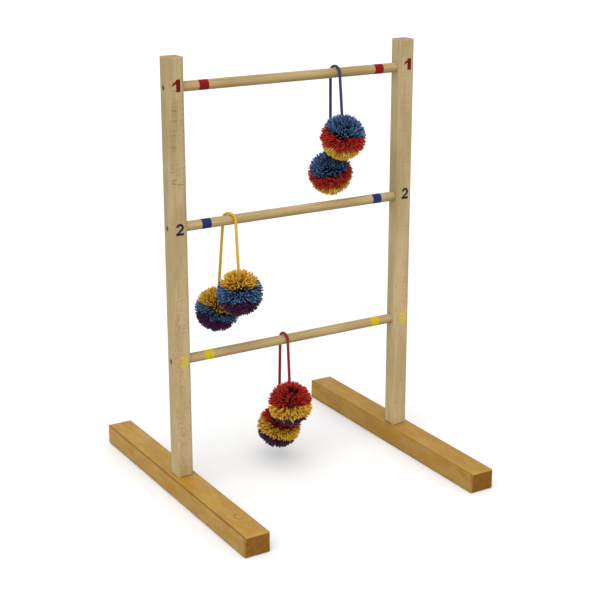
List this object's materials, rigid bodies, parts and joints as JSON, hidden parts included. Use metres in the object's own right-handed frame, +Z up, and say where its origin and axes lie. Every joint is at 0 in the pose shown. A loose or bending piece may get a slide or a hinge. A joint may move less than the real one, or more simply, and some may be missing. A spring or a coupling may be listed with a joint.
{
  "type": "ladder toss game",
  "caption": "Wooden ladder-toss stand with numbered rungs on two base bars, and cord bolas with filament balls hung over the rungs.",
  "frame": {"origin": "on the floor, at the middle of the stand's bounding box and midway between the posts", "axes": "+X along the rungs from the left post to the right one, +Y from the front (the numerals' side) to the back along the base bars, +Z up"},
  "size_m": [0.472, 0.505, 0.72],
  "materials": {
    "honey_wood": "satin honey stain and lacquer",
    "beech": "smooth, matte clear lacquer",
    "dowel_wood": "plain, matte",
    "red_paint": "satin paint film",
    "blue_paint": "satin paint film",
    "yellow_paint": "satin paint film",
    "dark_steel": "matte",
    "zinc_steel": "satin",
    "brass": "satin",
    "blue_cord": "matte braided cord",
    "yellow_cord": "matte braided cord",
    "red_cord": "matte braided cord",
    "blue_filaments": "matte rubber filaments",
    "red_filaments": "matte rubber filaments",
    "yellow_filaments": "matte rubber filaments",
    "purple_filaments": "matte rubber filaments",
    "black_tie": "matte"
  },
  "bodies": {
    "stand": {"left_base_bar": "honey_wood", "right_base_bar": "honey_wood", "left_post": "beech", "right_post": "beech", "top_rung": "beech", "middle_rung": "beech", "bottom_rung": "beech", "top_bands": "red_paint", "middle_bands": "blue_paint", "bottom_bands": "yellow_paint", "top_numerals": "red_paint", "middle_numerals": "blue_paint", "bottom_numerals": "yellow_paint", "rung_screws": "dark_steel", "foot_bolts": "zinc_steel", "foot_washers": "zinc_steel", "foot_inserts": "brass", "foot_dowels": "dowel_wood"},
    "top_loop": {"top_cord_loop": "blue_cord"},
    "top_front_ball": {"top_front_cord": "blue_cord", "top_front_blue_filaments": "blue_filaments", "top_front_red_filaments": "red_filaments", "top_front_yellow_filaments": "yellow_filaments", "top_front_tie": "black_tie"},
    "top_back_ball": {"top_back_cord": "blue_cord", "top_back_blue_filaments": "blue_filaments", "top_back_red_filaments": "red_filaments", "top_back_yellow_filaments": "yellow_filaments", "top_back_tie": "black_tie"},
    "middle_loop": {"middle_cord_loop": "yellow_cord"},
    "middle_front_ball": {"middle_front_cord": "yellow_cord", "middle_front_yellow_filaments": "yellow_filaments", "middle_front_blue_filaments": "blue_filaments", "middle_front_purple_filaments": "purple_filaments", "middle_front_tie": "black_tie"},
    "middle_back_ball": {"middle_back_cord": "yellow_cord", "middle_back_yellow_filaments": "yellow_filaments", "middle_back_blue_filaments": "blue_filaments", "middle_back_purple_filaments": "purple_filaments", "middle_back_tie": "black_tie"},
    "bottom_loop": {"bottom_cord_loop": "red_cord"},
    "bottom_front_ball": {"bottom_front_cord": "red_cord", "bottom_front_red_filaments": "red_filaments", "bottom_front_yellow_filaments": "yellow_filaments", "bottom_front_purple_filaments": "purple_filaments", "bottom_front_tie": "black_tie"},
    "bottom_back_ball": {"bottom_back_cord": "red_cord", "bottom_back_red_filaments": "red_filaments", "bottom_back_yellow_filaments": "yellow_filaments", "bottom_back_purple_filaments": "purple_filaments", "bottom_back_tie": "black_tie"}
  },
  "joints": [
    {"name": "top_bola_slide", "type": "slide", "parent": "stand", "child": "top_loop", "axis": [1, 0, 0], "range_m": [-0.24, 0.067]},
    {"name": "top_front_swing", "type": "hinge", "parent": "top_loop", "child": "top_front_ball", "pos_m": [0.082, -0.01085, 0.67406], "axis": [-1, 0, 0], "range_deg": [0, 45]},
    {"name": "top_back_swing", "type": "hinge", "parent": "top_loop", "child": "top_back_ball", "pos_m": [0.078, 0.01085, 0.67407], "axis": [1, 0, 0], "range_deg": [0, 45]},
    {"name": "middle_bola_slide", "type": "slide", "parent": "stand", "child": "middle_loop", "axis": [1, 0, 0], "range_m": [-0.033, 0.274]},
    {"name": "middle_front_swing", "type": "hinge", "parent": "middle_loop", "child": "middle_front_ball", "pos_m": [-0.113, -0.01077, 0.45469], "axis": [-1, 0, 0], "range_deg": [0, 45]},
    {"name": "middle_back_swing", "type": "hinge", "parent": "middle_loop", "child": "middle_back_ball", "pos_m": [-0.124, 0.01077, 0.45469], "axis": [1, 0, 0], "range_deg": [0, 45]},
    {"name": "bottom_bola_slide", "type": "slide", "parent": "stand", "child": "bottom_loop", "axis": [1, 0, 0], "range_m": [-0.138, 0.169]},
    {"name": "bottom_front_swing", "type": "hinge", "parent": "bottom_loop", "child": "bottom_front_ball", "pos_m": [-0.017, -0.01084, 0.23411], "axis": [-1, 0, 0], "range_deg": [0, 45]},
    {"name": "bottom_back_swing", "type": "hinge", "parent": "bottom_loop", "child": "bottom_back_ball", "pos_m": [-0.019, 0.01084, 0.23411], "axis": [1, 0, 0], "range_deg": [0, 45]}
  ]
}
